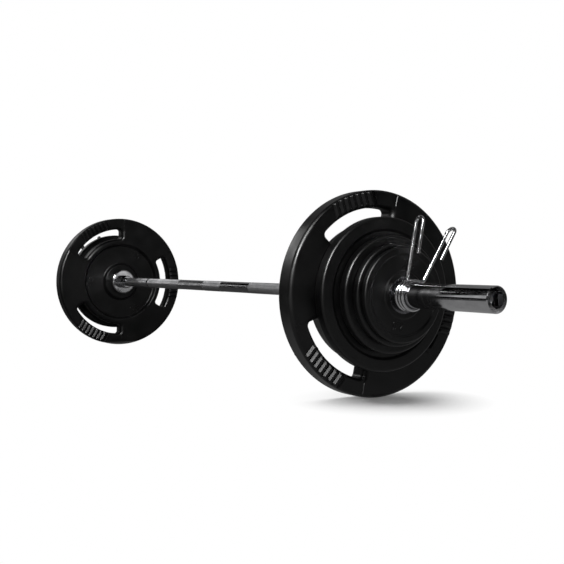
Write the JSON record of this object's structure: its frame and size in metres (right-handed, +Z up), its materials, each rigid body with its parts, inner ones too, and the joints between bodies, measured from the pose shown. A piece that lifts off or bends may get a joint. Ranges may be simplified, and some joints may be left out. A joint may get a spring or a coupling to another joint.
{
  "type": "olympic barbell",
  "caption": "Loaded barbell: a chromed bar with turning sleeves, rubber covered weight plates with grip slots, and wire spring collars that clamp them.",
  "frame": {"origin": "middle of the bar, on its axis", "axes": "X along the bar, towards the end that is nearer in the picture; Z up, with the plates standing on the floor"},
  "size_m": [2.2, 0.4298, 0.4298],
  "materials": {
    "chromed_shaft": "chrome with knurled bands",
    "chromed_sleeve": "polished chrome",
    "black_rubber": "satin moulded rubber",
    "iron_core": "as cast",
    "hub_steel": "turned steel",
    "bolt_steel": "dark zinc",
    "bush_bronze": "sintered bronze",
    "spring_wire": "bright plated wire"
  },
  "bodies": {
    "bar": {"shaft": "chromed_shaft", "right_thrust_washer": "bolt_steel", "right_lock_washer": "bolt_steel", "right_end_bolt": "bolt_steel", "left_thrust_washer": "bolt_steel", "left_lock_washer": "bolt_steel", "left_end_bolt": "bolt_steel"},
    "right_sleeve": {"right_sleeve_tube": "chromed_sleeve", "right_inner_collar": "chromed_sleeve", "right_inner_bush": "bush_bronze", "right_outer_bush": "bush_bronze"},
    "right_plate_45": {"right_plate_45_cover": "black_rubber", "right_plate_45_core": "iron_core", "right_plate_45_hub_ring": "hub_steel"},
    "right_plate_25": {"right_plate_25_cover": "black_rubber", "right_plate_25_core": "iron_core", "right_plate_25_hub_ring": "hub_steel"},
    "right_plate_10": {"right_plate_10_cover": "black_rubber", "right_plate_10_core": "iron_core", "right_plate_10_hub_ring": "hub_steel"},
    "right_plate_5": {"right_plate_5_cover": "black_rubber", "right_plate_5_core": "iron_core", "right_plate_5_hub_ring": "hub_steel"},
    "right_plate_2_5": {"right_plate_2_5_cover": "black_rubber", "right_plate_2_5_core": "iron_core", "right_plate_2_5_hub_ring": "hub_steel"},
    "right_spring_collar": {"right_collar_coil": "spring_wire"},
    "right_outboard_handle": {"right_collar_outboard_handle": "spring_wire"},
    "right_inboard_handle": {"right_collar_inboard_handle": "spring_wire"},
    "left_sleeve": {"left_sleeve_tube": "chromed_sleeve", "left_inner_collar": "chromed_sleeve", "left_inner_bush": "bush_bronze", "left_outer_bush": "bush_bronze"},
    "left_plate_45": {"left_plate_45_cover": "black_rubber", "left_plate_45_core": "iron_core", "left_plate_45_hub_ring": "hub_steel"},
    "left_plate_25": {"left_plate_25_cover": "black_rubber", "left_plate_25_core": "iron_core", "left_plate_25_hub_ring": "hub_steel"},
    "left_plate_10": {"left_plate_10_cover": "black_rubber", "left_plate_10_core": "iron_core", "left_plate_10_hub_ring": "hub_steel"},
    "left_plate_5": {"left_plate_5_cover": "black_rubber", "left_plate_5_core": "iron_core", "left_plate_5_hub_ring": "hub_steel"},
    "left_plate_2_5": {"left_plate_2_5_cover": "black_rubber", "left_plate_2_5_core": "iron_core", "left_plate_2_5_hub_ring": "hub_steel"},
    "left_spring_collar": {"left_collar_coil": "spring_wire"},
    "left_outboard_handle": {"left_collar_outboard_handle": "spring_wire"},
    "left_inboard_handle": {"left_collar_inboard_handle": "spring_wire"}
  },
  "joints": [
    {"name": "right_sleeve_spin", "type": "hinge", "parent": "bar", "child": "right_sleeve", "pos_m": [1, 0, 0], "axis": [1, 0, 0], "continuous": true},
    {"name": "right_plate_45_slide", "type": "slide", "parent": "right_sleeve", "child": "right_plate_45", "axis": [1, 0, 0], "range_m": [0, 0.4]},
    {"name": "right_plate_25_slide", "type": "slide", "parent": "right_plate_45", "child": "right_plate_25", "axis": [1, 0, 0], "range_m": [0, 0.35]},
    {"name": "right_plate_10_slide", "type": "slide", "parent": "right_plate_25", "child": "right_plate_10", "axis": [1, 0, 0], "range_m": [0, 0.323]},
    {"name": "right_plate_5_slide", "type": "slide", "parent": "right_plate_10", "child": "right_plate_5", "axis": [1, 0, 0], "range_m": [0, 0.3]},
    {"name": "right_plate_2_5_slide", "type": "slide", "parent": "right_plate_5", "child": "right_plate_2_5", "axis": [1, 0, 0], "range_m": [0, 0.282]},
    {"name": "right_spring_collar_slide", "type": "slide", "parent": "right_plate_2_5", "child": "right_spring_collar", "axis": [1, 0, 0], "range_m": [0, 0.266]},
    {"name": "right_outboard_handle_squeeze", "type": "hinge", "parent": "right_spring_collar", "child": "right_outboard_handle", "pos_m": [0.859, 0, 0], "axis": [1, 0, 0], "range_deg": [0, 7], "stiffness_Nm_per_rad": 45, "deforming": ["right_collar_coil"]},
    {"name": "right_inboard_handle_squeeze", "type": "hinge", "parent": "right_spring_collar", "child": "right_inboard_handle", "pos_m": [0.859, 0, 0], "axis": [1, 0, 0], "range_deg": [-7, 0]},
    {"name": "left_sleeve_spin", "type": "hinge", "parent": "bar", "child": "left_sleeve", "pos_m": [-1, 0, 0], "axis": [-1, 0, 0], "continuous": true},
    {"name": "left_plate_45_slide", "type": "slide", "parent": "left_sleeve", "child": "left_plate_45", "axis": [-1, 0, 0], "range_m": [0, 0.4]},
    {"name": "left_plate_25_slide", "type": "slide", "parent": "left_plate_45", "child": "left_plate_25", "axis": [-1, 0, 0], "range_m": [0, 0.35]},
    {"name": "left_plate_10_slide", "type": "slide", "parent": "left_plate_25", "child": "left_plate_10", "axis": [-1, 0, 0], "range_m": [0, 0.323]},
    {"name": "left_plate_5_slide", "type": "slide", "parent": "left_plate_10", "child": "left_plate_5", "axis": [-1, 0, 0], "range_m": [0, 0.3]},
    {"name": "left_plate_2_5_slide", "type": "slide", "parent": "left_plate_5", "child": "left_plate_2_5", "axis": [-1, 0, 0], "range_m": [0, 0.282]},
    {"name": "left_spring_collar_slide", "type": "slide", "parent": "left_plate_2_5", "child": "left_spring_collar", "axis": [-1, 0, 0], "range_m": [0, 0.266]},
    {"name": "left_outboard_handle_squeeze", "type": "hinge", "parent": "left_spring_collar", "child": "left_outboard_handle", "pos_m": [-0.859, 0, 0], "axis": [-1, 0, 0], "range_deg": [0, 7], "stiffness_Nm_per_rad": 45, "deforming": ["left_collar_coil"]},
    {"name": "left_inboard_handle_squeeze", "type": "hinge", "parent": "left_spring_collar", "child": "left_inboard_handle", "pos_m": [-0.859, 0, 0], "axis": [-1, 0, 0], "range_deg": [-7, 0]}
  ],
  "couplings": [
    {"joint": "right_inboard_handle_squeeze", "follows": "right_outboard_handle_squeeze", "ratio": -1},
    {"joint": "left_inboard_handle_squeeze", "follows": "left_outboard_handle_squeeze", "ratio": -1}
  ]
}
